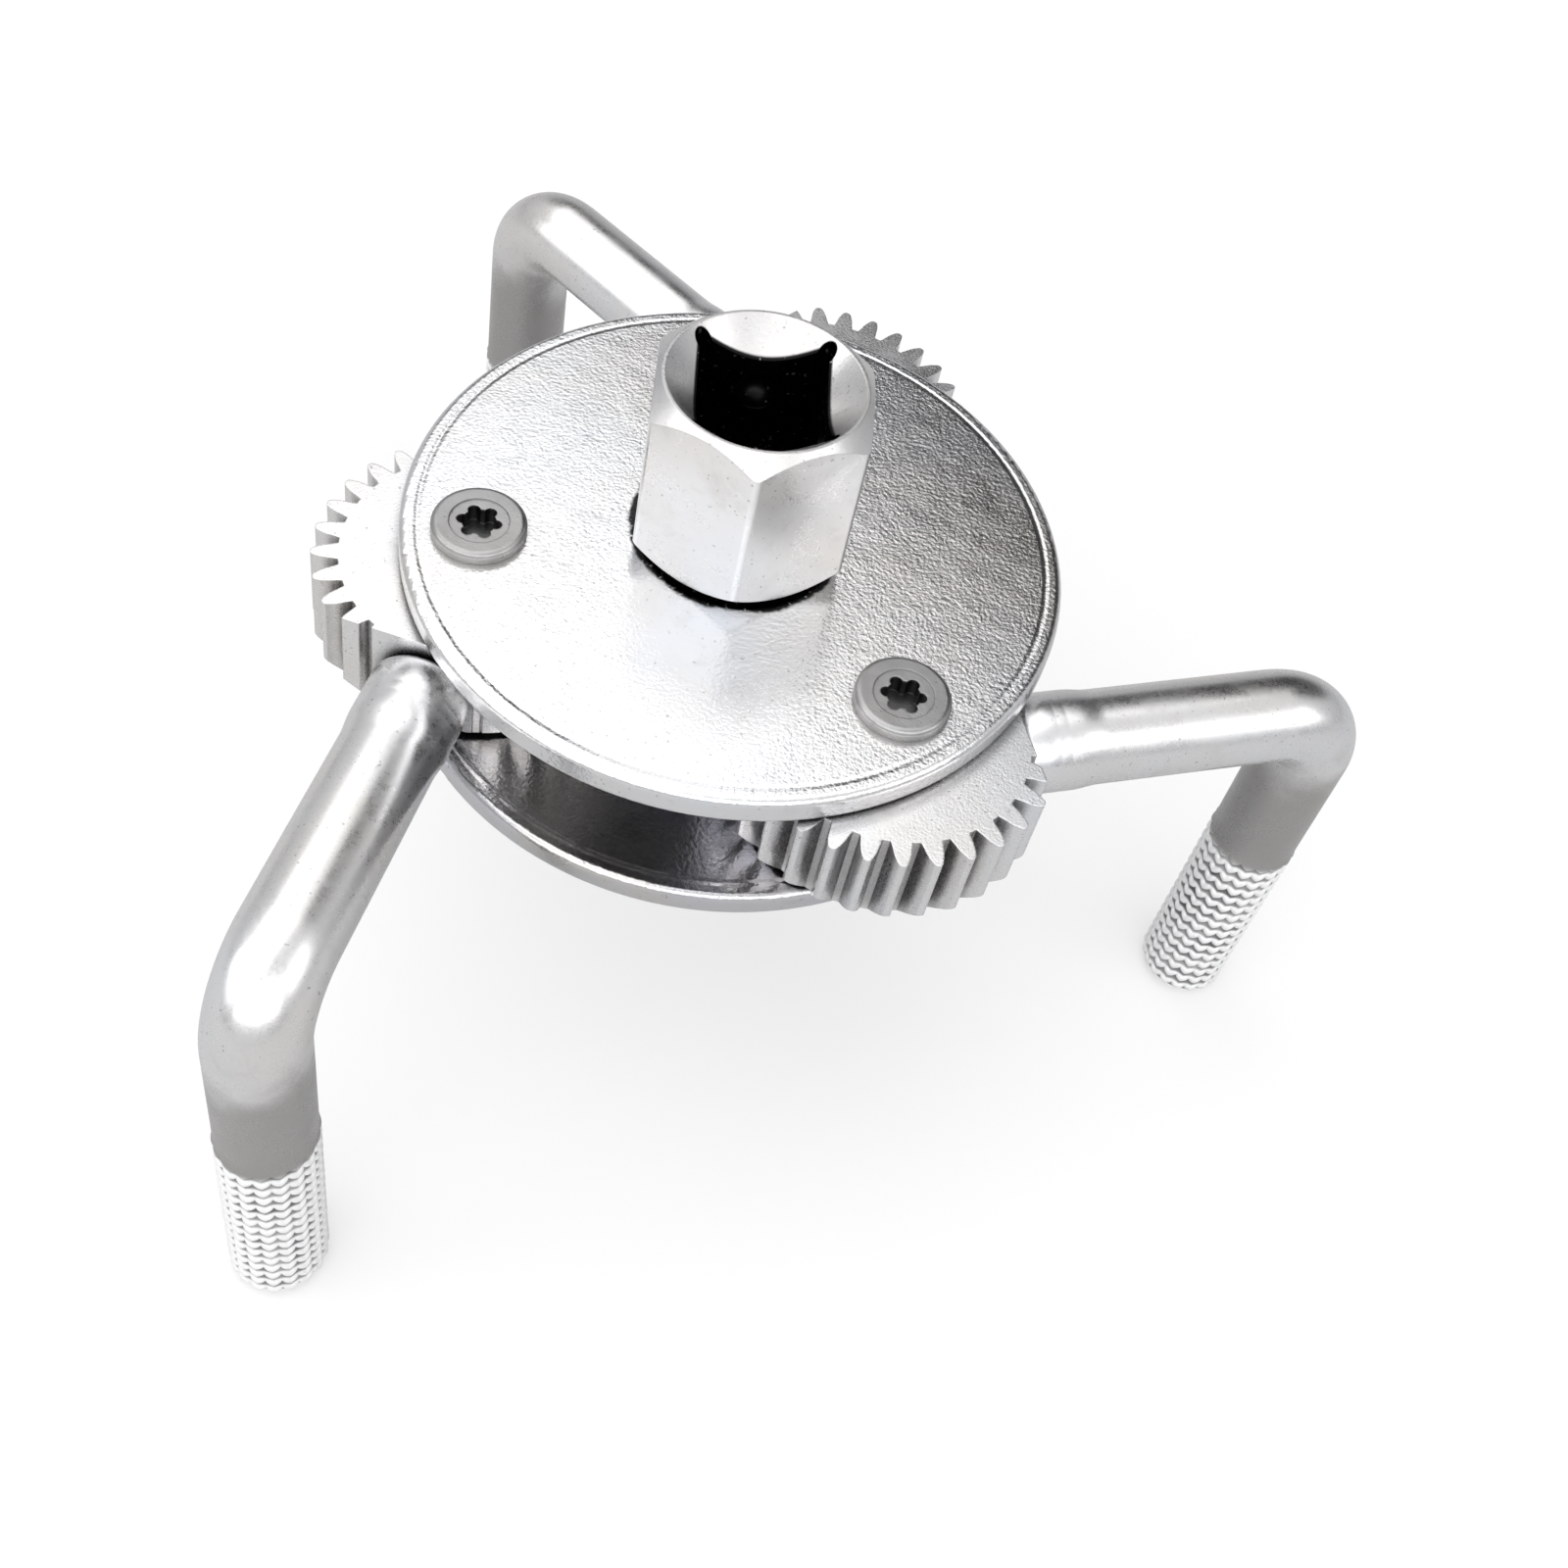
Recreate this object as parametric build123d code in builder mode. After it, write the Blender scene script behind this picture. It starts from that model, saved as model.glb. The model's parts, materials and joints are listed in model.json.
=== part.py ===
from build123d import *
from math import atan, cos, pi, radians, sin, sqrt, tan
import os

# Three-jaw, two-way oil filter wrench.
# Frame: millimetres, +Z up along the drive axis, z = 0 at the ends of the three jaws,
# x = y = 0 on the drive axis. Each arm pivots between the two plates and is turned
# from the sun gear on the drive shaft.

# ---- driving dimensions (mm) ----
ARMS = 3
PLATE_D = 52.0
TOP_T = 2.5
BOTTOM_T = 2.3
PLATE_GAP = 9.7
PLATE_EDGE_R = 0.6  # rounding of the plates' outer edges

PIVOT_R = 20.0  # pivot circle radius, also the gears' centre distance
FIRST_PIVOT = -45.0  # deg, direction of pivot 1 from the axis
ARM_SWING = 66.0  # deg, how far each arm stands from its radial direction

SUN_TEETH = 21
ARM_TEETH = 30
GEAR_MODULE = 2 * PIVOT_R / (SUN_TEETH + ARM_TEETH)
PRESSURE_ANGLE = 20.0
DEDENDUM = 1.6  # in modules: the tooth spaces are cut deep
ROOT_BED = 0.35  # share of the half space where the flank leans on down to the root
BACKLASH = 0.05  # taken off each tooth flank
TIP_BREAK = 0.12  # rounding of the tooth tips in plan
TOOTH_TURN = -1.5  # deg, how far the arms' teeth are turned from pointing at the drive axis
TOOTH_RUNOUT = 2.4  # height of the cone that cuts the arms' teeth back at the bottom

ROD_D = 7.5
COLLAR_D = 7.9  # thicker first stretch of the rod, next to the gear head
COLLAR_END = 15.0  # from the pivot axis
COLLAR_TAPER = 2.4
COLLAR_BEVEL = 0.9
KNURL_D = 7.8
KNURL_L = 22.0
KNURL_RUNOUT = 0.4
TIP_CHAMFER = 0.9
BEND_R = 5.4
REACH = 38.6  # pivot axis to jaw axis
JAW_DROP = 40.0  # rod axis down to the jaw's end
HEAD_FLAT = 10.0  # pivot axis to the flat the rod comes out of
HEAD_CUT = 10.0  # width of the slab cut away beyond that flat
SPIGOT_D = 5.0
SPIGOT_L = 4.6

HEX_AF = 16.0
HEX_SIDES = 6
HEX_TURN = 34.0  # deg, direction of a corner
HEX_EDGE_R = 0.7
HEX_TOP_CUT = 1.6  # height of the corner cone at the mouth end
HEX_LOW_CUT = 1.3
HEX_L = 15.3
HEX_GAP = 0.55  # dark gap between the hexagon and the top plate
HEX_LOW_RIM = 7.9  # radius where the bottom cone starts
SQUARE = 9.7  # 3/8 in square drive with clearance
SQUARE_TURN = 7.0  # deg
SQUARE_RELIEF_D = 1.4  # round relief in each corner of the square
SQUARE_DEPTH = 11.6
MOUTH_D = 14.7  # countersink at the mouth
MOUTH_RIM = 0.25  # width of the flat ring round it
DETENT_D = 3.6
DETENT_DEPTH = 5.6

TOP_JOURNAL_D = 13.0
SUN_SEAT_D = 11.5
SUN_SEAT_AF = 10.4
LOW_JOURNAL_D = 10.0
SHAFT_CHAMFER = 0.4
GROOVE_D = 8.6
THRUST_WASHER_D = 14.9
KEEPER_D = 16.4
RING_D = 13.2
RING_GAP = 3.4  # between the ends of the open ring
KEEPER_T = 0.5
RING_T = 1.0
SHAFT_OVERHANG = 0.8  # below the retaining ring
RUNNING = 0.05  # radial running clearance
CLEAR = 0.15  # radial clearance of loose parts
END_PLAY = 0.15  # between stacked parts that turn on each other
THIN_PLAY = 0.1

POST_D = 8.0
POST_HEAD_D = 7.2
POST_HEAD_T = 0.8
POST_HEAD_R = 0.5
POST_SPIGOT_D = 5.6
POST_HOLE = 8.0  # depth of the screw's hole
ARM_WASHER_D = 12.4
ARM_WASHER_T = 0.4
SCREW_D = 5.0
SCREW_L = 9.5  # below its head
SCREW_HEAD_D = 7.3
SCREW_HEAD_T = 1.05
SCREW_HEAD_R = 0.45
RECESS_D = 3.5  # six-lobe recess, across its lobes
RECESS_CORE_D = 2.6
LOBES = 6
LOBE_D = 0.98
RECESS_DEPTH = 1.7
RECESS_STEP_D = 4.6  # shallow round step about the recess
RECESS_STEP = 0.15

# ---- heights ----
rod_z = JAW_DROP
gap_low = rod_z - PLATE_GAP / 2
gap_high = rod_z + PLATE_GAP / 2
bottom_low = gap_low - BOTTOM_T
top_high = gap_high + TOP_T
head_low = gap_low + ARM_WASHER_T + END_PLAY
head_high = gap_high - END_PLAY
sun_low = gap_low + 2 * END_PLAY
sun_high = gap_high - 2 * END_PLAY
hex_low = top_high + HEX_GAP
hex_high = hex_low + HEX_L
thrust_t = HEX_GAP - THIN_PLAY
keeper_high = bottom_low - THIN_PLAY
ring_high = keeper_high - KEEPER_T
ring_low = ring_high - RING_T
shaft_low = ring_low - SHAFT_OVERHANG

# ---- the teeth ----
tooth_turn = radians(TOOTH_TURN)
sun_turn = -tooth_turn * ARM_TEETH / SUN_TEETH
tooth_h = (1 + DEDENDUM) * GEAR_MODULE
root_r = (ARM_TEETH / 2 - DEDENDUM) * GEAR_MODULE

pivot_angles = [FIRST_PIVOT + 360 / ARMS * i for i in range(ARMS)]
pivots = [(PIVOT_R * cos(radians(a)), PIVOT_R * sin(radians(a))) for a in pivot_angles]

os.makedirs("parts", exist_ok=True)


def save(part, label):
    part.label = label
    export_step(part, f"parts/{label}.step")


def polar(r, a):
    return (r * cos(a), r * sin(a))


def involute(t):
    return tan(t) - t


def gear_outline(teeth, first):
    """Draw a closed spur-gear outline round the origin; a tooth points along first (rad)."""
    r_pitch = GEAR_MODULE * teeth / 2
    r_base = r_pitch * cos(radians(PRESSURE_ANGLE))
    r_tip = r_pitch + GEAR_MODULE
    r_root = r_pitch - DEDENDUM * GEAR_MODULE
    half_base = pi / 2 / teeth + involute(radians(PRESSURE_ANGLE)) - BACKLASH / r_pitch

    def flank(r):
        roll = sqrt(max((r / r_base) ** 2 - 1, 0))
        return half_base - involute(atan(roll))

    r_corner = r_tip - TIP_BREAK
    r_mid = (r_base + r_corner) / 2
    low, mid, top = flank(r_base), flank(r_mid), flank(r_corner)
    land = flank(r_tip) - TIP_BREAK / r_tip
    pitch = 2 * pi / teeth
    bed = low + ROOT_BED * (pitch / 2 - low)
    for k in range(teeth):
        c = first + k * pitch
        Line(polar(r_root, c - bed), polar(r_base, c - low))
        ThreePointArc(polar(r_base, c - low), polar(r_mid, c - mid), polar(r_corner, c - top))
        Line(polar(r_corner, c - top), polar(r_tip, c - land))
        ThreePointArc(polar(r_tip, c - land), polar(r_tip, c), polar(r_tip, c + land))
        Line(polar(r_tip, c + land), polar(r_corner, c + top))
        ThreePointArc(polar(r_corner, c + top), polar(r_mid, c + mid), polar(r_base, c + low))
        Line(polar(r_base, c + low), polar(r_root, c + bed))
        ThreePointArc(
            polar(r_root, c + bed), polar(r_root, c + pitch / 2), polar(r_root, c + pitch - bed)
        )


def arm_place(i):
    """Local arm frame (pivot at the origin, rod along +X) into the wrench's frame."""
    return Location((*pivots[i], 0), (0, 0, pivot_angles[i] + ARM_SWING))


# ---- plates ----
with BuildPart() as top_plate:
    with BuildSketch(Plane.XY.offset(gap_high)):
        Circle(PLATE_D / 2)
        Circle(TOP_JOURNAL_D / 2 + RUNNING, mode=Mode.SUBTRACT)
        with Locations(*pivots):
            Circle(SCREW_D / 2 + CLEAR, mode=Mode.SUBTRACT)
    extrude(amount=TOP_T)
    rims = top_plate.edges().filter_by(GeomType.CIRCLE).filter_by(lambda e: e.radius > PLATE_D / 2 - 1)
    fillet(rims, PLATE_EDGE_R)
save(top_plate.part, "top_plate")

with BuildPart() as bottom_plate:
    with BuildSketch(Plane.XY.offset(bottom_low)):
        Circle(PLATE_D / 2)
        Circle(LOW_JOURNAL_D / 2 + RUNNING, mode=Mode.SUBTRACT)
        with Locations(*pivots):
            Circle(POST_SPIGOT_D / 2, mode=Mode.SUBTRACT)
    extrude(amount=BOTTOM_T)
    rims = bottom_plate.edges().filter_by(GeomType.CIRCLE).filter_by(lambda e: e.radius > PLATE_D / 2 - 1)
    fillet(rims, PLATE_EDGE_R)
save(bottom_plate.part, "bottom_plate")

# ---- drive ----
with BuildPart() as drive_socket:
    with BuildSketch(Plane.XY.offset(hex_low)) as hexagon:
        RegularPolygon(HEX_AF / 2, HEX_SIDES, major_radius=False, rotation=HEX_TURN)
        fillet(hexagon.vertices(), HEX_EDGE_R)
    extrude(amount=HEX_L)
    # both ends of the hexagon are turned to a cone that takes only the corners
    with BuildSketch(Plane.XZ):
        corner = HEX_AF / sqrt(3)
        with BuildLine():
            Polyline(
                (0, hex_low),
                (HEX_LOW_RIM, hex_low),
                (corner, hex_low + HEX_LOW_CUT),
                (corner, hex_high - HEX_TOP_CUT),
                (MOUTH_D / 2 + MOUTH_RIM, hex_high),
                (0, hex_high),
                close=True,
            )
        make_face()
    revolve(axis=Axis.Z, mode=Mode.INTERSECT)
    with BuildSketch(Plane.XY.offset(sun_high)):
        Circle(TOP_JOURNAL_D / 2)
    extrude(amount=hex_low - sun_high)
    with BuildSketch(Plane.XY.offset(sun_low)):
        Circle(SUN_SEAT_D / 2)
        Rectangle(SUN_SEAT_D + 1, SUN_SEAT_AF, mode=Mode.INTERSECT)
    extrude(amount=sun_high - sun_low)
    with BuildSketch(Plane.XY.offset(shaft_low)):
        Circle(LOW_JOURNAL_D / 2)
    extrude(amount=sun_low - shaft_low)
    chamfer(drive_socket.faces().sort_by(Axis.Z)[0].edges(), SHAFT_CHAMFER)
    with BuildSketch(Plane.XY.offset(ring_low)):
        Circle(LOW_JOURNAL_D)
        Circle(GROOVE_D / 2, mode=Mode.SUBTRACT)
    extrude(amount=RING_T, mode=Mode.SUBTRACT)
    with BuildSketch(Plane.XY.offset(hex_high)):
        Rectangle(SQUARE, SQUARE, rotation=SQUARE_TURN)
        with PolarLocations(SQUARE / sqrt(2) - SQUARE_RELIEF_D / 4, 4, start_angle=SQUARE_TURN + 45):
            Circle(SQUARE_RELIEF_D / 2)
    extrude(amount=-SQUARE_DEPTH, mode=Mode.SUBTRACT)
    # mouth: a wide cone down into the square
    with BuildSketch(Plane.XZ):
        with BuildLine():
            Polyline(
                (0, hex_high + 1),
                (MOUTH_D / 2, hex_high + 1),
                (MOUTH_D / 2, hex_high),
                (0, hex_high - MOUTH_D / 2),
                close=True,
            )
        make_face()
    revolve(axis=Axis.Z, mode=Mode.SUBTRACT)
    # detent pockets, one in each wall of the square
    with Locations((0, 0, hex_high - DETENT_DEPTH)):
        with PolarLocations(SQUARE / 2, 4, start_angle=SQUARE_TURN):
            Sphere(DETENT_D / 2, mode=Mode.SUBTRACT)
save(drive_socket.part, "drive_socket")

with BuildPart() as sun_gear:
    with BuildSketch(Plane.XY.offset(sun_low)):
        with BuildLine():
            gear_outline(SUN_TEETH, radians(FIRST_PIVOT) + pi / SUN_TEETH + sun_turn)
        make_face()
    extrude(amount=sun_high - sun_low)
    with BuildSketch(Plane.XY.offset(sun_low)):
        Circle(SUN_SEAT_D / 2)
        Rectangle(SUN_SEAT_D + 1, SUN_SEAT_AF, mode=Mode.INTERSECT)
    extrude(amount=sun_high - sun_low, mode=Mode.SUBTRACT)
save(sun_gear.part, "sun_gear")

with BuildPart() as thrust_washer:
    with BuildSketch(Plane.XY.offset(hex_low)):
        Circle(THRUST_WASHER_D / 2)
        Circle(TOP_JOURNAL_D / 2 + CLEAR, mode=Mode.SUBTRACT)
    extrude(amount=-thrust_t)
save(thrust_washer.part, "thrust_washer")

with BuildPart() as keeper_washer:
    with BuildSketch(Plane.XY.offset(keeper_high)):
        Circle(KEEPER_D / 2)
        Circle(LOW_JOURNAL_D / 2 + CLEAR, mode=Mode.SUBTRACT)
    extrude(amount=-KEEPER_T)
save(keeper_washer.part, "keeper_washer")

with BuildPart() as retaining_ring:
    with BuildSketch(Plane.XY.offset(ring_high)):
        Circle(RING_D / 2)
        Circle(GROOVE_D / 2, mode=Mode.SUBTRACT)
        with Locations((0, -RING_D / 2)):
            Rectangle(RING_GAP, RING_D, mode=Mode.SUBTRACT)
    extrude(amount=-RING_T)
save(retaining_ring.part, "retaining_ring")

# ---- pivots: post, screw and washer of each arm ----
for i, (x, y) in enumerate(pivots, 1):
    with BuildPart() as post:
        with BuildSketch(Plane.XY.offset(gap_low)):
            with Locations((x, y)):
                Circle(POST_D / 2)
        extrude(amount=PLATE_GAP)
        with BuildSketch(Plane.XY.offset(bottom_low)):
            with Locations((x, y)):
                Circle(POST_SPIGOT_D / 2)
        extrude(amount=BOTTOM_T)
        with BuildSketch(Plane.XY.offset(bottom_low)):
            with Locations((x, y)):
                Circle(POST_HEAD_D / 2)
        extrude(amount=-POST_HEAD_T)
        fillet(post.faces().sort_by(Axis.Z)[0].edges(), POST_HEAD_R)
        with BuildSketch(Plane.XY.offset(gap_high)):
            with Locations((x, y)):
                Circle(SCREW_D / 2)
        extrude(amount=-POST_HOLE, mode=Mode.SUBTRACT)
    save(post.part, f"pivot_post_{i}")

    with BuildPart() as screw:
        with BuildSketch(Plane.XY.offset(top_high)):
            with Locations((x, y)):
                Circle(SCREW_HEAD_D / 2)
        extrude(amount=SCREW_HEAD_T)
        fillet(screw.faces().sort_by(Axis.Z)[-1].edges(), SCREW_HEAD_R)
        with BuildSketch(Plane.XY.offset(top_high)):
            with Locations((x, y)):
                Circle(SCREW_D / 2)
        extrude(amount=-SCREW_L)
        with BuildSketch(Plane.XY.offset(top_high + SCREW_HEAD_T)):
            with Locations((x, y)):
                Circle(RECESS_STEP_D / 2)
        extrude(amount=-RECESS_STEP, mode=Mode.SUBTRACT)
        with BuildSketch(Plane.XY.offset(top_high + SCREW_HEAD_T)):
            with Locations((x, y)):
                Circle(RECESS_CORE_D / 2)
                with PolarLocations((RECESS_D - LOBE_D) / 2, LOBES):
                    Circle(LOBE_D / 2)
        extrude(amount=-RECESS_DEPTH, mode=Mode.SUBTRACT)
    save(screw.part, f"pivot_screw_{i}")

    with BuildPart() as arm_washer:
        with BuildSketch(Plane.XY.offset(gap_low)):
            with Locations((x, y)):
                Circle(ARM_WASHER_D / 2)
                Circle(POST_D / 2 + CLEAR, mode=Mode.SUBTRACT)
        extrude(amount=ARM_WASHER_T)
    save(arm_washer.part, f"arm_washer_{i}")

# ---- arms: modelled once in the arm's own frame, then placed three times ----
with BuildPart() as gear_head:
    with BuildSketch(Plane.XY.offset(head_low)):
        with BuildLine():
            gear_outline(ARM_TEETH, pi - radians(ARM_SWING) + tooth_turn)
        make_face()
        with Locations((HEAD_FLAT + HEAD_CUT / 2, 0)):
            Rectangle(HEAD_CUT, 4 * HEAD_CUT, mode=Mode.SUBTRACT)
        Circle(POST_D / 2 + RUNNING, mode=Mode.SUBTRACT)
    extrude(amount=head_high - head_low)
    # the teeth run out in a cone at the bottom
    with BuildSketch(Plane.XZ):
        with BuildLine():
            Polyline(
                (root_r, head_low),
                (root_r + 2 * tooth_h, head_low),
                (root_r + 2 * tooth_h, head_low + 2 * TOOTH_RUNOUT),
                close=True,
            )
        make_face()
    revolve(axis=Axis.Z, mode=Mode.SUBTRACT)
    with BuildSketch(Plane.YZ.offset(HEAD_FLAT)):
        with Locations((0, rod_z)):
            Circle(SPIGOT_D / 2)
    extrude(amount=-SPIGOT_L, mode=Mode.SUBTRACT)

with BuildPart() as arm_rod:
    # spigot, bevelled collar and its taper, turned about the rod's axis
    with BuildSketch(Plane.XZ):
        with BuildLine():
            Polyline(
                (HEAD_FLAT - SPIGOT_L, rod_z),
                (HEAD_FLAT - SPIGOT_L, rod_z + SPIGOT_D / 2),
                (HEAD_FLAT, rod_z + SPIGOT_D / 2),
                (HEAD_FLAT, rod_z + COLLAR_D / 2 - COLLAR_BEVEL),
                (HEAD_FLAT + COLLAR_BEVEL, rod_z + COLLAR_D / 2),
                (COLLAR_END, rod_z + COLLAR_D / 2),
                (COLLAR_END + COLLAR_TAPER, rod_z + ROD_D / 2),
                (COLLAR_END + COLLAR_TAPER, rod_z),
                close=True,
            )
        make_face()
    revolve(axis=Axis((0, 0, rod_z), (1, 0, 0)))
    # straight run, bend and drop
    turn = (REACH - BEND_R, 0, rod_z - BEND_R)
    with BuildLine():
        Line((COLLAR_END + COLLAR_TAPER, 0, rod_z), (turn[0], 0, rod_z))
        ThreePointArc(
            (turn[0], 0, rod_z),
            (turn[0] + BEND_R * sin(pi / 4), 0, turn[2] + BEND_R * cos(pi / 4)),
            (REACH, 0, turn[2]),
        )
        Line((REACH, 0, turn[2]), (REACH, 0, KNURL_L))
    with BuildSketch(Plane.YZ.offset(COLLAR_END + COLLAR_TAPER)):
        with Locations((0, rod_z)):
            Circle(ROD_D / 2)
    sweep()
    # knurled jaw
    with BuildSketch(Plane.XZ):
        with BuildLine():
            Polyline(
                (REACH, 0),
                (REACH + KNURL_D / 2 - TIP_CHAMFER, 0),
                (REACH + KNURL_D / 2, TIP_CHAMFER),
                (REACH + KNURL_D / 2, KNURL_L - KNURL_RUNOUT),
                (REACH + ROD_D / 2, KNURL_L),
                (REACH, KNURL_L),
                close=True,
            )
        make_face()
    revolve(axis=Axis((REACH, 0, 0), (0, 0, 1)))

for i in range(ARMS):
    save(arm_place(i) * gear_head.part, f"gear_head_{i + 1}")
    save(arm_place(i) * arm_rod.part, f"arm_rod_{i + 1}")
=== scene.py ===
"""Looks of the three-jaw oil filter wrench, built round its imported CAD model.

Metres, in the CAD frame: +Z along the drive axis, z = 0 at the ends of the jaws. The plates,
gears, socket and screws are the CAD nodes with plated-steel materials. Each arm's rod is
rebuilt as a fine mesh, because its knurl is cut into the surface.
"""

import json
from math import cos, pi, radians, sin, tau

import bpy
import numpy as np
from mathutils import Matrix, Vector


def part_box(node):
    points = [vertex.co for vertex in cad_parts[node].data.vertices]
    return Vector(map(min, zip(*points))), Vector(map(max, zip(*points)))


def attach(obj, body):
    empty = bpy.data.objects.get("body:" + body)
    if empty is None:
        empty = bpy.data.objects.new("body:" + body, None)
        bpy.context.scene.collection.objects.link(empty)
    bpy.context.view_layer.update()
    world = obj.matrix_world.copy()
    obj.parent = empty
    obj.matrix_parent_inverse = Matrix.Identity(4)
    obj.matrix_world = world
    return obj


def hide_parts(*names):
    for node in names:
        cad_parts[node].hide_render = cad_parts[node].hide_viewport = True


MM = 0.001
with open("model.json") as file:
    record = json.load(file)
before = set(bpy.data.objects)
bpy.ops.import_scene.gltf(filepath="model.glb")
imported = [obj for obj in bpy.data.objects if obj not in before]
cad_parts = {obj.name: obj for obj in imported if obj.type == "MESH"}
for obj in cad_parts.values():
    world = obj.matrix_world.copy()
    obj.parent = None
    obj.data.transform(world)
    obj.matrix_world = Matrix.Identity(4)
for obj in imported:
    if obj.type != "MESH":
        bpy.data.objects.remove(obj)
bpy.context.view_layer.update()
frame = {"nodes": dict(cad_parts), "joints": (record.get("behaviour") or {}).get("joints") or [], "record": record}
record = frame["record"]

# ---- the arm's own sizes, as in the CAD ----
HEAD_FLAT = 10.0 * MM  # pivot axis to the flat that the rod comes out of
SPIGOT_R = 2.45 * MM
SPIGOT_L = 4.4 * MM
SPIGOT_CHAMFER = 0.3 * MM
COLLAR_R = 3.95 * MM
COLLAR_BEVEL = 0.9 * MM
COLLAR_END = 15.0 * MM
COLLAR_TAPER = 2.4 * MM
ROD_R = 3.75 * MM
BEND_R = 5.4 * MM
KNURL_R = 3.9 * MM
KNURL_L = 22.0 * MM
KNURL_STEP = 0.4 * MM  # length of the small step between knurl and rod
TIP_CHAMFER = 0.9 * MM

# ---- faint turned lines round the collar ----
LINES_ALONG = (0.62, 0.80)  # shares of the way from the flat to the collar's end
LINE_HALF = 0.10 * MM
LINE_DEPTH = 0.006 * MM

# ---- the knurl: columns of small chevron ridges ----
KNURL_COLUMNS = 18
KNURL_ROWS = 16
KNURL_DEPTH = 0.34 * MM
KNURL_GROOVE = 0.20 * MM  # extra depth between two columns
KNURL_RUN_OUT = 1.1 * MM  # the cutter leaves the rod over this length
CHEVRON = 0.42 * MM  # how far a ridge dips in the middle of its column
RIDGE_POWER = 0.8  # below 1, so the ridges are wider than the valleys
GROOVE_PIT = 0.45  # how deep a pit the grooves count as beside the valleys, which sets their painted shade

# ---- the rod's mesh ----
ROUND_STEPS = 180  # points round the rod
BEVEL_STEPS = 4
TAPER_STEPS = 8
STRAIGHT_STEPS = 8
BEND_STEPS = 32
DROP_STEPS = 6
KNURL_STEPS = 192
SHARP_ANGLE = 50  # deg

# ---- the socket's square bore, as in the CAD ----
SQUARE = 9.7 * MM
SQUARE_TURN = 7.0  # deg
SQUARE_DEPTH = 11.6 * MM
MOUTH_R = 7.35 * MM

# ---- plating: noise scales are per metre ----
CLOUD_SCALE = 55
STAIN_SCALE = 260
RIPPLE_SCALE = 420
SPECK_SCALE = 2600
GLINT_SCALE = 1900
USUAL = (0.3, 0.7)  # most of a noise lies between these
EDGE_R = 0.14 * MM  # worn edges catch the light
COOL = (0.975, 0.99, 1.02)
# the next tint, for the bottom plate, is a painted blue reflection of the top plate's dark underside
REFLECTED_BLUE = (0.92, 0.94, 1.12)
WARM = (1.02, 0.995, 0.97)

# ---- marks on single pieces ----
RING_INSET = 1.35 * MM  # from a plate's rim in to its faint ring
RING_HALF = 0.35 * MM
RING_DEPTH = 0.04 * MM
HEX_SHADOW_R = 8.5 * MM  # how far the black painted shadow reaches out from under the hexagon
HEX_SHADOW_RAGGED = 0.25 * MM
HEX_SHADOW_EDGE = (-0.10 * MM, 0.25 * MM)  # the painted shadow thins out between these, from the radius above
DROP_SHADE = (31 * MM, 37 * MM)  # heights between which the painted shade on the rod's drop gives way to plating
DROP_SHADE_RAGGED = 2.5 * MM
KNURL_PALE = (0.9 * MM, 0.1 * MM)  # the knurl's paler look starts between these, below its top
BORE_WALL = (0.02 * MM, 0.16 * MM)  # the painted shade in the bore turns black between these, below its countersink
BORE_RIM = (0.12 * MM, 0.30 * MM)  # and fades between these, outside its square
BORE_MARGIN = 1 * MM
RECESS_R = 1.9 * MM  # a screw's recess
RECESS_SHADE = (0.25 * MM, 0.45 * MM)  # depths between which the painted shade in it deepens

# ---- studio: angles in degrees, lens and sensor in mm ----
CAMERA_AZIMUTH, CAMERA_ELEVATION, CAMERA_ROLL = -2.86, 47.57, 12.94
CAMERA_DISTANCE = 144.4 * MM
CAMERA_AIM = (4.3 * MM, -5.2 * MM)  # on the top plate
CAMERA_LENS, CAMERA_SENSOR = 43.4, 36
CAMERA_SHIFT = -0.125
CAMERA_CLIP = 0.005
FLOOR_HALF = 3.0
FLOOR_GLOW = 0.45  # so that the floor reads pale beside bright metal
# azimuth (0 is behind the object, 90 its right), elevation, distance, size and power in watts
SOFT_BOXES = {
    "overhead": (-56, 72, 0.70, (1.10, 0.80), 2.7),
    "front": (180, 32, 0.80, (1.4, 0.5), 3.4),
    "left_fill": (-110, 25, 0.80, (0.5, 0.4), 1.0),
    "right_fill": (110, 30, 0.80, (0.4, 0.4), 0.8),
}
ROOM_LOW = (0.60, 0.61, 0.63, 1)
ROOM_HIGH = (1.0, 1.0, 1.0, 1)
ROOM_STOPS = (0.0, 0.95)
ROOM_STRENGTH = 0.80
# the room's dark places: direction, cosines where each starts and is full, share of light left
DARK_PLACES = (
    (Vector((0.42, 0.72, 0.55)).normalized(), 0.82, 0.95, 0.05),  # in the plates' back right
    (Vector((-0.22, 0.84, 0.50)).normalized(), 0.93, 0.985, 0.10),  # along their back edge
)

arms = [j for j in frame["joints"] if j["child"].startswith("arm_")]
jaw_ends = {
    m["name"]: Vector(m["pos_m"]) for m in record["mounts"] if m["name"].startswith("jaw_end")
}
plate_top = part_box("top_plate")[1].z


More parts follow.
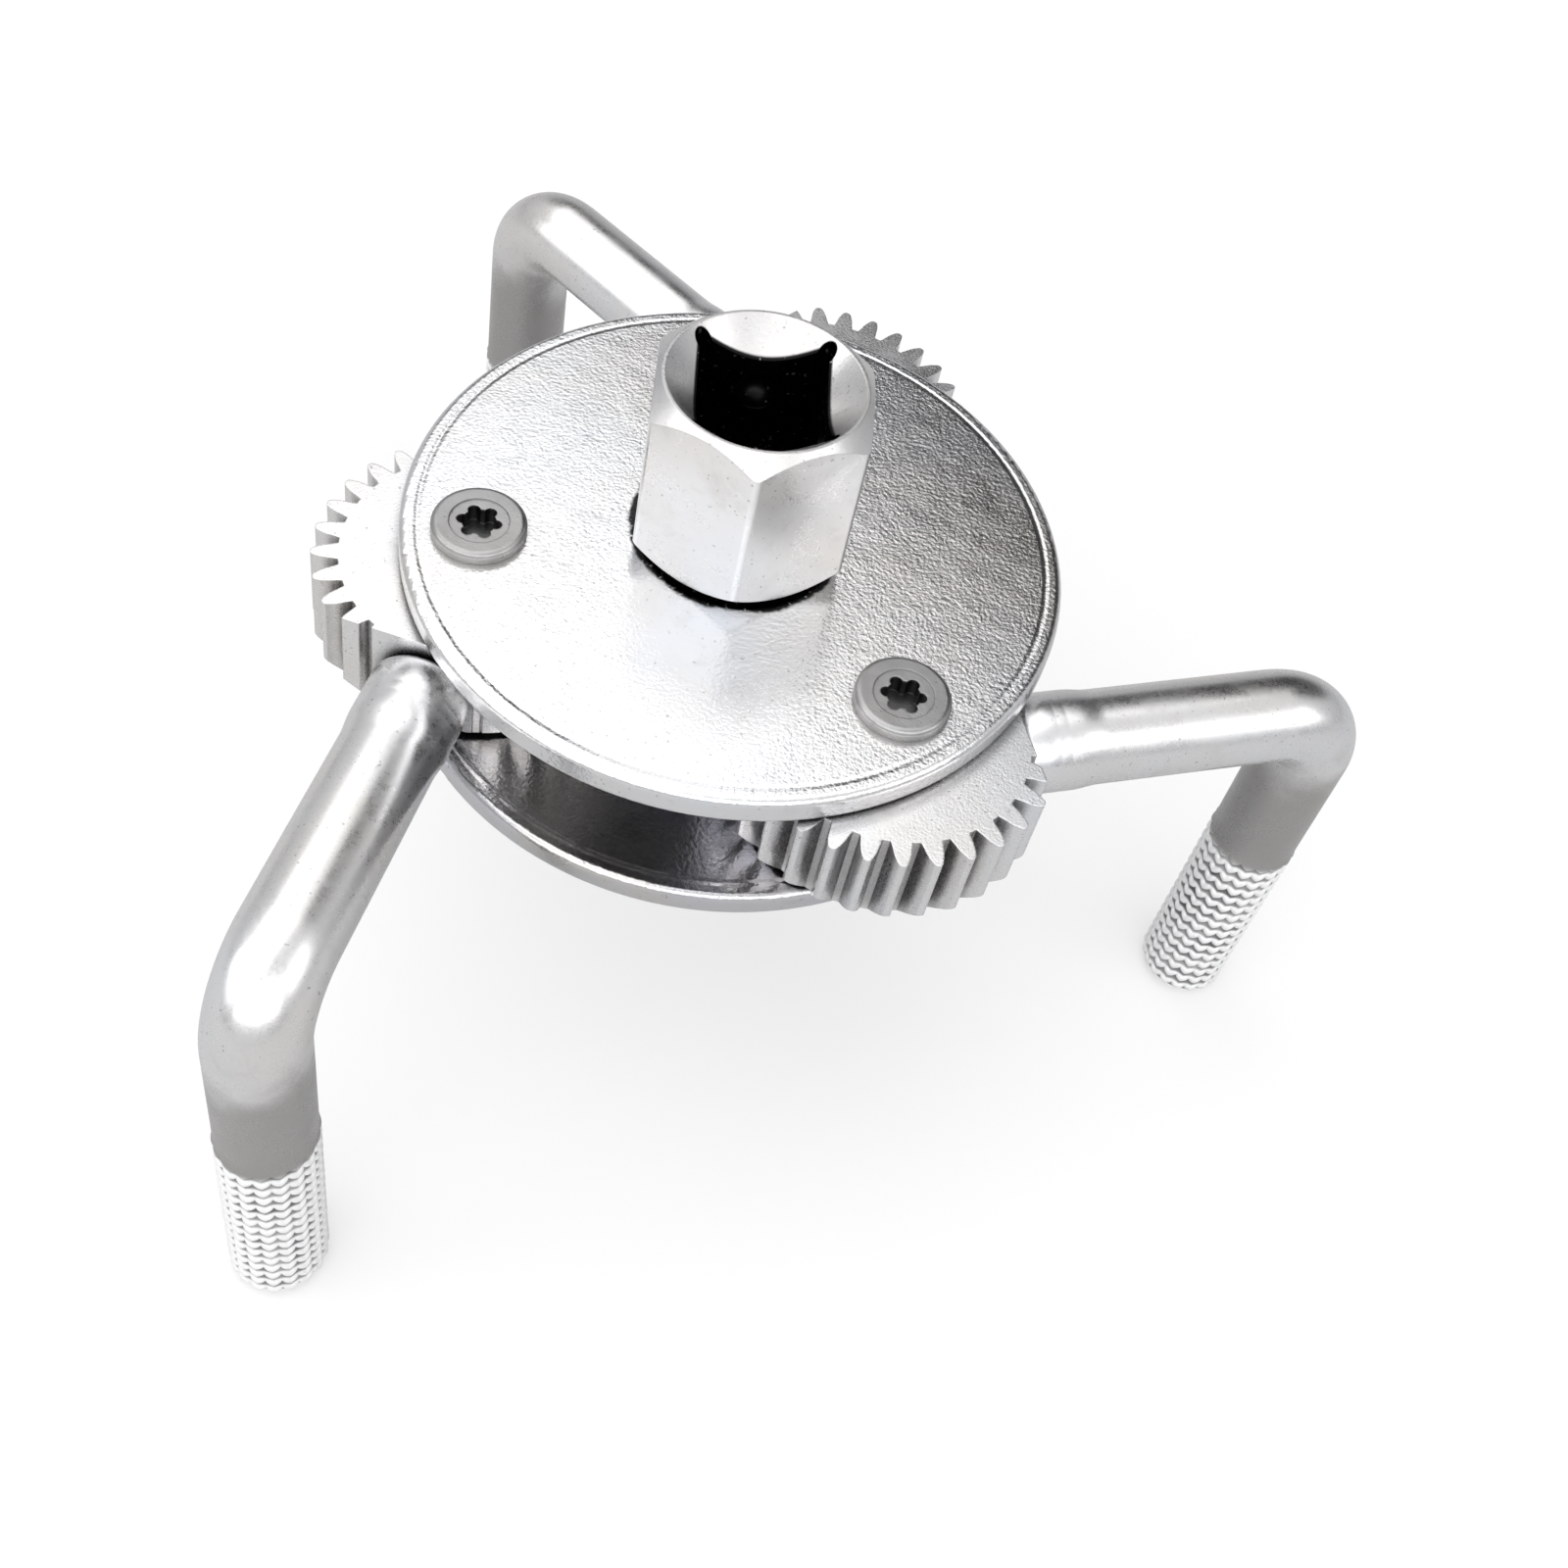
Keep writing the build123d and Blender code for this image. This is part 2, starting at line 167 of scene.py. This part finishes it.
# ================= materials =================
class Nodes:
    """A node tree, with one short call for each node."""

    def __init__(self, tree):
        self.tree = tree

    def node(self, kind, **settings):
        made = self.tree.nodes.new("ShaderNode" + kind)
        for key, value in settings.items():
            setattr(made, key, value)
        return made

    def feed(self, socket, value):
        if isinstance(value, bpy.types.NodeSocket):
            self.tree.links.new(value, socket)
        else:
            socket.default_value = value

    def math(self, operation, *values):
        made = self.node("Math", operation=operation)
        for socket, value in zip(made.inputs, values):
            self.feed(socket, value)
        return made.outputs[0]

    def spread(self, value, low, high, out_low=0.0, out_high=1.0, smooth=False):
        made = self.node("MapRange", interpolation_type="SMOOTHSTEP" if smooth else "LINEAR")
        for socket, v in zip(made.inputs, (value, low, high, out_low, out_high)):
            self.feed(socket, v)
        return made.outputs[0]

    def axes(self, place):
        parts = self.node("SeparateXYZ")
        self.feed(parts.inputs[0], place)
        return parts.outputs


class Shader(Nodes):
    """A material's nodes, placed by the object's own coordinates in metres."""

    def __init__(self, name):
        self.material = bpy.data.materials.new(name)
        self.material.use_nodes = True
        super().__init__(self.material.node_tree)
        self.bsdf = next(n for n in self.tree.nodes if n.type == "BSDF_PRINCIPLED")
        self.place = self.node("TexCoord").outputs["Object"]

    def noise(self, scale, detail=3.0, roughness=0.55, distortion=0.0):
        made = self.node("TexNoise")
        self.feed(made.inputs["Vector"], self.place)
        made.inputs["Scale"].default_value = scale
        made.inputs["Detail"].default_value = detail
        made.inputs["Roughness"].default_value = roughness
        made.inputs["Distortion"].default_value = distortion
        return made.outputs["Fac"]

    def mix(self, amount, a, b):
        made = self.node("Mix", data_type="RGBA")
        self.feed(made.inputs[0], amount)
        self.feed(made.inputs[6], a)
        self.feed(made.inputs[7], b)
        return made.outputs[2]

    def bump(self, height, distance, under):
        made = self.node("Bump")
        made.inputs["Strength"].default_value = 1.0
        made.inputs["Distance"].default_value = distance
        self.feed(made.inputs["Height"], height)
        self.feed(made.inputs["Normal"], under)
        return made.outputs[0]

    def crevice(self, distance):
        """1 in the open, falling towards 0 in corners and narrow gaps."""
        made = self.node("AmbientOcclusion", samples=4)
        made.inputs["Distance"].default_value = distance
        return made.outputs["AO"]

    def radius(self, centre=(0, 0)):
        """Distance from an upright axis, and the height."""
        axes = self.axes(self.place)
        x = self.math("SUBTRACT", axes[0], centre[0])
        y = self.math("SUBTRACT", axes[1], centre[1])
        squares = self.math("ADD", self.math("MULTIPLY", x, x), self.math("MULTIPLY", y, y))
        return self.math("SQRT", squares), axes[2]

    def square_reach(self, turn):
        """Distance from the drive axis to the wall of a turned square through the point."""
        x, y, _ = self.axes(self.place)
        c, s = cos(radians(turn)), sin(radians(turn))
        along = self.math("ADD", self.math("MULTIPLY", x, c), self.math("MULTIPLY", y, s))
        across = self.math("SUBTRACT", self.math("MULTIPLY", y, c), self.math("MULTIPLY", x, s))
        return self.math("MAXIMUM", self.math("ABSOLUTE", along), self.math("ABSOLUTE", across))

    def cover(self, amount, colour):
        """Lay a colour over the base colour made so far."""
        base = self.bsdf.inputs["Base Color"]
        self.feed(base, self.mix(amount, base.links[0].from_socket, colour))

    def shade_with_glints(self, low, high, dark, bright):
        """Painted shade with painted glints: black with small bright flecks; low and high are noise values."""
        tone = self.spread(self.noise(GLINT_SCALE, detail=1), low, high, dark, bright)
        made = self.node("CombineColor")
        for socket in made.inputs[:3]:
            self.feed(socket, tone)
        return made.outputs[0]


def grey(level, tint=(1, 1, 1)):
    return (level * tint[0], level * tint[1], level * tint[2], 1)


def plated_steel(name, level, rough, grain, grain_size, waves=0.03 * MM,
                 shade_and_oil=0.45, shade_and_oil_reach=1.2 * MM, tint=COOL):
    """Bright zinc plate: cloudy tint, uneven gloss, fine grain, specks, and darkening in corners and narrow gaps
    that is partly oil and partly painted shade.
    """
    s = Shader(name)
    clouds = s.noise(CLOUD_SCALE, detail=5)
    stains = s.noise(STAIN_SCALE, detail=6, roughness=0.7, distortion=0.4)
    fine = s.noise(1 / grain_size, detail=2)
    specks = s.noise(SPECK_SCALE, detail=1)
    colour = s.mix(s.spread(clouds, 0.35, 0.65), grey(level, tint), grey(level * 0.94, WARM))
    colour = s.mix(s.spread(stains, 0.56, 0.72, 0, 0.30), colour, grey(level * 0.62, WARM))
    colour = s.mix(s.spread(specks, 0.70, 0.76, 0, 0.55), colour, grey(level * 0.35))
    # painted shade: an occlusion mask darkens corners and narrow gaps, partly standing for oil held there
    open_air = s.spread(s.crevice(shade_and_oil_reach), 0.25, 0.85)
    corner_shade = s.math("MULTIPLY", s.math("SUBTRACT", 1, open_air), shade_and_oil)
    s.feed(s.bsdf.inputs["Base Color"], s.mix(corner_shade, colour, grey(0.03, WARM)))
    s.bsdf.inputs["Metallic"].default_value = 1.0
    gloss = s.spread(stains, *USUAL, rough * 0.8, rough * 1.3)
    s.feed(s.bsdf.inputs["Roughness"], s.math("ADD", gloss, s.spread(fine, *USUAL, -0.03, 0.03)))
    edges = s.node("Bevel", samples=4)
    edges.inputs["Radius"].default_value = EDGE_R
    under = s.bump(s.noise(RIPPLE_SCALE, detail=2), waves, edges.outputs[0])
    s.feed(s.bsdf.inputs["Normal"], s.bump(fine, grain, under))
    return s


def plate_finish(name, level, tint):
    s = plated_steel(name, level, rough=0.19, grain=0.032 * MM, grain_size=0.32 * MM,
                     shade_and_oil=0.35, shade_and_oil_reach=0.9 * MM, tint=tint)
    # a faint ring where the blank's edge was rolled over, just inside the rim
    r, _ = s.radius()
    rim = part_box("top_plate")[1].x
    ring = s.math("ABSOLUTE", s.math("SUBTRACT", r, rim - RING_INSET))
    groove = s.spread(ring, 0, RING_HALF, smooth=True)
    normal = s.bsdf.inputs["Normal"]
    s.feed(normal, s.bump(groove, RING_DEPTH, normal.links[0].from_socket))
    # painted shadow: black round the hexagon's foot, standing for the shade of the gap under it, with painted
    # glints
    wander = s.spread(s.noise(500, detail=3), *USUAL, -HEX_SHADOW_RAGGED, HEX_SHADOW_RAGGED)
    start, end = (HEX_SHADOW_R + edge for edge in HEX_SHADOW_EDGE)
    painted_shade = s.spread(s.math("ADD", r, wander), start, end, 1, 0, smooth=True)
    s.cover(painted_shade, s.shade_with_glints(0.64, 0.70, dark=0.03, bright=0.6))
    return s.material


def gear_finish():
    return plated_steel("zinc_gear", 0.88, rough=0.26, grain=0.012 * MM, grain_size=0.22 * MM,
                        waves=0.010 * MM, shade_and_oil=0.9, shade_and_oil_reach=1.3 * MM).material


def rod_finish():
    s = plated_steel("zinc_rod", 0.86, rough=0.28, grain=0.003 * MM, grain_size=0.30 * MM,
                     waves=0.006 * MM, shade_and_oil=0.6, shade_and_oil_reach=0.8 * MM)
    # painted shade: the drop between bend and knurl is made greyer, as its upright surface looks darker
    z = s.axes(s.place)[2]
    wander = s.spread(s.noise(130, detail=4), *USUAL, -DROP_SHADE_RAGGED, DROP_SHADE_RAGGED)
    drop = s.spread(s.math("ADD", z, wander), *DROP_SHADE, 1, 0, smooth=True)
    s.cover(s.math("MULTIPLY", drop, 0.9), grey(0.40, WARM))
    # the knurl is paler and duller than the drawn rod, with painted shade darkening its pits
    start, end = (KNURL_L - below for below in KNURL_PALE)
    knurl = s.spread(z, start, end, 1, 0, smooth=True)
    pit = s.node("Attribute", attribute_name="pit").outputs["Fac"]
    patchy = s.spread(s.noise(300, detail=4), *USUAL, 0.55, 1.0)
    painted_shade = s.math("MULTIPLY", s.spread(pit, 0.50, 0.90, smooth=True), patchy)
    s.cover(knurl, s.mix(painted_shade, grey(0.98), grey(0.09)))
    gloss = s.bsdf.inputs["Roughness"]
    s.feed(gloss, s.math("ADD", gloss.links[0].from_socket, s.math("MULTIPLY", knurl, 0.14)))
    s.feed(s.bsdf.inputs["Metallic"], s.math("SUBTRACT", 1, s.math("MULTIPLY", knurl, 0.6)))
    return s.material


def socket_finish():
    """The square bore is painted black as shade, with painted glints: walls, corners and a little of its edge."""
    s = plated_steel("zinc_socket", 0.74, rough=0.30, grain=0.008 * MM, grain_size=0.25 * MM,
                     waves=0.010 * MM, shade_and_oil=0.3)
    r, z = s.radius()
    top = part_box("drive_socket")[1].z
    below_cone = s.math("SUBTRACT", s.math("ADD", r, top - MOUTH_R), z)
    walls = s.spread(below_cone, *BORE_WALL, smooth=True)
    walls = s.math("MULTIPLY", walls, s.math("LESS_THAN", r, MOUTH_R))
    start, end = (SQUARE / 2 + past for past in BORE_RIM)
    rim = s.spread(s.square_reach(SQUARE_TURN), start, end, 1, 0, smooth=True)
    above_floor = s.math("GREATER_THAN", z, top - SQUARE_DEPTH - BORE_MARGIN)
    # painted shade: black on the bore's walls and rim
    bore_shade = s.math("MULTIPLY", s.math("MAXIMUM", walls, rim), above_floor)
    s.cover(bore_shade, s.shade_with_glints(0.68, 0.72, dark=0.012, bright=0.50))
    return s.material


def screw_finish(index):
    s = plated_steel(f"screw_steel_{index}", 0.42, rough=0.32, grain=0.01 * MM,
                     grain_size=0.15 * MM, shade_and_oil=0.5)
    low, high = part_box(f"pivot_screw_{index}")
    r, z = s.radius(((low.x + high.x) / 2, (low.y + high.y) / 2))
    # painted shade: the screw's recess is darkened below its top
    recess_shade_mask = s.spread(s.math("SUBTRACT", high.z, z), *RECESS_SHADE, smooth=True)
    inside = s.math("LESS_THAN", r, RECESS_R)
    s.cover(s.math("MULTIPLY", recess_shade_mask, inside), grey(0.10))
    return s.material


def plain_finish(name, level, rough, shade_and_oil):
    return plated_steel(name, level, rough, grain=0.01 * MM, grain_size=0.2 * MM, shade_and_oil=shade_and_oil).material


# ================= the rods =================
def rod_path(reach, height):
    """Rings of the rod in the arm's plane: centre (out, up), direction and radius."""
    rings = []

    def straight(out, radius):
        rings.append(((out, height), (1.0, 0.0), radius))

    straight(HEAD_FLAT - SPIGOT_L, SPIGOT_R - SPIGOT_CHAMFER)
    straight(HEAD_FLAT - SPIGOT_L + SPIGOT_CHAMFER, SPIGOT_R)
    straight(HEAD_FLAT, SPIGOT_R)
    for step in range(BEVEL_STEPS + 1):  # half way between a flat bevel and a quarter round
        along = step / BEVEL_STEPS
        turn = pi / 2 * along
        bulge = (sin(turn) + along) / 2
        rise = (1 - cos(turn) + along) / 2
        straight(HEAD_FLAT + COLLAR_BEVEL * rise, COLLAR_R - COLLAR_BEVEL * (1 - bulge))
    for share in LINES_ALONG:
        middle = HEAD_FLAT + (COLLAR_END - HEAD_FLAT) * share
        straight(middle - LINE_HALF, COLLAR_R)
        straight(middle, COLLAR_R - LINE_DEPTH)
        straight(middle + LINE_HALF, COLLAR_R)
    for step in range(TAPER_STEPS + 1):
        along = step / TAPER_STEPS
        ease = (1 - cos(pi * along)) / 2
        straight(COLLAR_END + COLLAR_TAPER * along, COLLAR_R + (ROD_R - COLLAR_R) * ease)
    turn_out, turn_up = reach - BEND_R, height - BEND_R
    first = COLLAR_END + COLLAR_TAPER
    for step in range(1, STRAIGHT_STEPS + 1):
        straight(first + (turn_out - first) * step / STRAIGHT_STEPS, ROD_R)
    for step in range(1, BEND_STEPS + 1):
        a = pi / 2 * step / BEND_STEPS
        centre = (turn_out + BEND_R * sin(a), turn_up + BEND_R * cos(a))
        rings.append((centre, (cos(a), -sin(a)), ROD_R))
    drop = turn_up - KNURL_L
    for step in range(1, DROP_STEPS + 1):
        rings.append(((reach, turn_up - drop * step / DROP_STEPS), (0.0, -1.0), ROD_R))
    return rings


def knurl_radius(angle, up):
    """The knurled jaw's radius at angles round it and heights above its end, and its pits (0 to 1)."""
    column = np.mod(angle * KNURL_COLUMNS / tau, 1.0)
    off_middle = np.abs(2 * column - 1)  # 0 in the middle of a column, 1 between two
    row = (up + CHEVRON * (1 - off_middle)) / (KNURL_L / KNURL_ROWS)
    ridge = (0.5 + 0.5 * np.cos(tau * row)) ** RIDGE_POWER
    groove = off_middle**3
    depth = KNURL_DEPTH * (1 - ridge) + KNURL_GROOVE * groove
    cut = np.clip((KNURL_L - up) / KNURL_RUN_OUT, 0, 1) ** 0.5
    blank = np.where(up < TIP_CHAMFER, KNURL_R - (TIP_CHAMFER - up), KNURL_R)
    step = ROD_R + (KNURL_R - ROD_R) * (KNURL_L - up) / KNURL_STEP
    blank = np.where(up > KNURL_L - KNURL_STEP, step, blank)
    return np.minimum(blank, KNURL_R - depth * cut), (1 - ridge + GROOVE_PIT * groove) * cut


def rod_mesh(name, pivot, jaw, height):
    """The whole rod as one closed mesh, from its spigot to the end of its knurled jaw."""
    out = Vector((jaw.x - pivot.x, jaw.y - pivot.y, 0))
    reach = out.length
    out.normalize()
    side = Vector((-out.y, out.x, 0))
    angles = np.arange(ROUND_STEPS) * tau / ROUND_STEPS
    points, pits = [], []

    def ring(centre, direction, radii, pit=0.0):
        middle = pivot + out * centre[0] + Vector((0, 0, centre[1]))
        # across the rod, in the arm's plane
        across = out * -direction[1] + Vector((0, 0, direction[0]))
        sideways = np.outer(np.cos(angles) * radii, np.array(side))
        upright = np.outer(np.sin(angles) * radii, np.array(across))
        points.append(np.array(middle) + sideways + upright)
        pits.append(np.broadcast_to(pit, ROUND_STEPS))

    for centre, direction, radius in rod_path(reach, height):
        ring(centre, direction, np.full(ROUND_STEPS, radius))
    for step in range(1, KNURL_STEPS + 1):
        up = KNURL_L * (1 - step / KNURL_STEPS)
        ring((reach, up), (0.0, -1.0), *knurl_radius(angles, np.full(ROUND_STEPS, up)))
    count = len(points)
    faces = []
    for k in range(count - 1):
        a, b = k * ROUND_STEPS, (k + 1) * ROUND_STEPS
        for i in range(ROUND_STEPS):
            j = (i + 1) % ROUND_STEPS
            faces.append((a + i, a + j, b + j, b + i))
    faces.append(tuple(reversed(range(ROUND_STEPS))))
    faces.append(tuple(range((count - 1) * ROUND_STEPS, count * ROUND_STEPS)))
    mesh = bpy.data.meshes.new(name)
    mesh.from_pydata(np.concatenate(points).tolist(), [], faces)
    mesh.validate()
    pit = mesh.attributes.new("pit", "FLOAT", "POINT")
    pit.data.foreach_set("value", np.concatenate(pits).astype(np.float32))
    mesh.shade_smooth()
    mesh.set_sharp_from_angle(angle=radians(SHARP_ANGLE))
    made = bpy.data.objects.new(name, mesh)
    bpy.context.scene.collection.objects.link(made)
    return made


# ================= CAD nodes =================
def dress(node, material):
    """Give a CAD node its material."""
    materials = frame["nodes"][node].data.materials
    materials.clear()
    materials.append(material)


gear = gear_finish()
rod = rod_finish()
steel = plain_finish("machined_steel", 0.50, rough=0.28, shade_and_oil=0.7)
spring = plain_finish("spring_steel", 0.05, rough=0.38, shade_and_oil=0.8)
dress("top_plate", plate_finish("zinc_plate_top", 0.86, COOL))
# the bottom plate is a darker, bluer copy of the plate finish: painted shade and a painted blue reflection of the
# top plate's underside
dress("bottom_plate", plate_finish("zinc_plate_bottom", 0.70, REFLECTED_BLUE))
dress("drive_socket", socket_finish())
dress("sun_gear", gear)
dress("thrust_washer", spring)
dress("keeper_washer", steel)
dress("retaining_ring", spring)
for arm in arms:
    index = arm["child"][-1]
    dress(f"pivot_post_{index}", steel)
    dress(f"pivot_screw_{index}", screw_finish(index))
    dress(f"arm_washer_{index}", steel)
    dress(f"gear_head_{index}", gear)
    at = Vector(arm["pos_m"])
    jaw = jaw_ends[f"jaw_end_{index}"]
    piece = rod_mesh(f"knurled_rod_{index}", Vector((at.x, at.y, 0)), jaw, at.z)
    piece.data.materials.append(rod)
    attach(piece, arm["child"])
    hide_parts(f"arm_rod_{index}")


# ================= studio =================
def camera():
    """The photograph's viewing angle, with the top plate as the reference."""
    azimuth, elevation = radians(CAMERA_AZIMUTH), radians(CAMERA_ELEVATION)
    roll = radians(CAMERA_ROLL)
    aim = Vector((*CAMERA_AIM, plate_top))
    back = Vector((sin(azimuth) * cos(elevation), -cos(azimuth) * cos(elevation), sin(elevation)))
    level = Vector((cos(azimuth), sin(azimuth), 0))
    rise = back.cross(level)
    right = level * cos(roll) + rise * sin(roll)
    up = rise * cos(roll) - level * sin(roll)
    data = bpy.data.cameras.new("camera")
    data.lens = CAMERA_LENS
    data.sensor_width = CAMERA_SENSOR
    data.shift_y = CAMERA_SHIFT
    data.clip_start = CAMERA_CLIP
    made = bpy.data.objects.new("camera", data)
    turned = Matrix((right, up, back)).transposed().to_4x4()
    made.matrix_world = Matrix.Translation(aim + back * CAMERA_DISTANCE) @ turned
    bpy.context.scene.collection.objects.link(made)
    bpy.context.scene.camera = made


def floor():
    data = bpy.data.meshes.new("floor")
    corners = [(x * FLOOR_HALF, y * FLOOR_HALF, 0) for x, y in ((-1, -1), (1, -1), (1, 1), (-1, 1))]
    data.from_pydata(corners, [], [(0, 1, 2, 3)])
    made = bpy.data.objects.new("floor", data)
    bpy.context.scene.collection.objects.link(made)
    s = Shader("pale_floor")
    tone = s.mix(s.noise(3, detail=2), grey(0.50), grey(0.52))
    seen = s.node("LightPath").outputs["Is Camera Ray"]
    s.feed(s.bsdf.inputs["Base Color"], s.mix(seen, grey(0.54), tone))
    s.bsdf.inputs["Roughness"].default_value = 0.8
    s.bsdf.inputs["Emission Color"].default_value = grey(1)
    s.feed(s.bsdf.inputs["Emission Strength"], s.math("MULTIPLY", seen, FLOOR_GLOW))
    s.bsdf.inputs["Specular IOR Level"].default_value = 0.1
    data.materials.append(s.material)


def soft_light(name, azimuth, elevation, distance, size, watts):
    """A rectangular soft box, placed round the plate's centre."""
    aim = Vector((0, 0, plate_top))
    a, e = radians(azimuth), radians(elevation)
    place = aim + distance * Vector((sin(a) * cos(e), cos(a) * cos(e), sin(e)))
    data = bpy.data.lights.new(name, "AREA")
    data.shape = "RECTANGLE"
    data.size, data.size_y = size
    data.energy = watts
    made = bpy.data.objects.new(name, data)
    made.location = place
    made.rotation_mode = "QUATERNION"
    made.rotation_quaternion = (aim - place).to_track_quat("-Z", "Y")
    bpy.context.scene.collection.objects.link(made)


def surroundings():
    """A pale room: bright overhead, greyer towards the horizon, with two dark places."""
    world = bpy.data.worlds.new("room")
    bpy.context.scene.world = world
    world.use_nodes = True
    s = Nodes(world.node_tree)
    light = next(n for n in s.tree.nodes if n.type == "BACKGROUND")
    direction = s.node("TexCoord").outputs["Generated"]
    ramp = s.node("ValToRGB")
    s.feed(ramp.inputs[0], s.axes(direction)[2])
    for stop, position, colour in zip(ramp.color_ramp.elements, ROOM_STOPS, (ROOM_LOW, ROOM_HIGH)):
        stop.position = position
        stop.color = colour
    strength = ROOM_STRENGTH
    for centre, start, full, least in DARK_PLACES:
        toward = s.node("VectorMath", operation="DOT_PRODUCT")
        s.feed(toward.inputs[0], direction)
        s.feed(toward.inputs[1], centre)
        shade = s.spread(toward.outputs["Value"], start, full, 1, least, smooth=True)
        strength = s.math("MULTIPLY", strength, shade)
    s.feed(light.inputs["Color"], ramp.outputs[0])
    s.feed(light.inputs["Strength"], strength)


camera()
floor()
surroundings()
for name, settings in SOFT_BOXES.items():
    soft_light(name, *settings)
bpy.context.scene.view_settings.view_transform = "Standard"
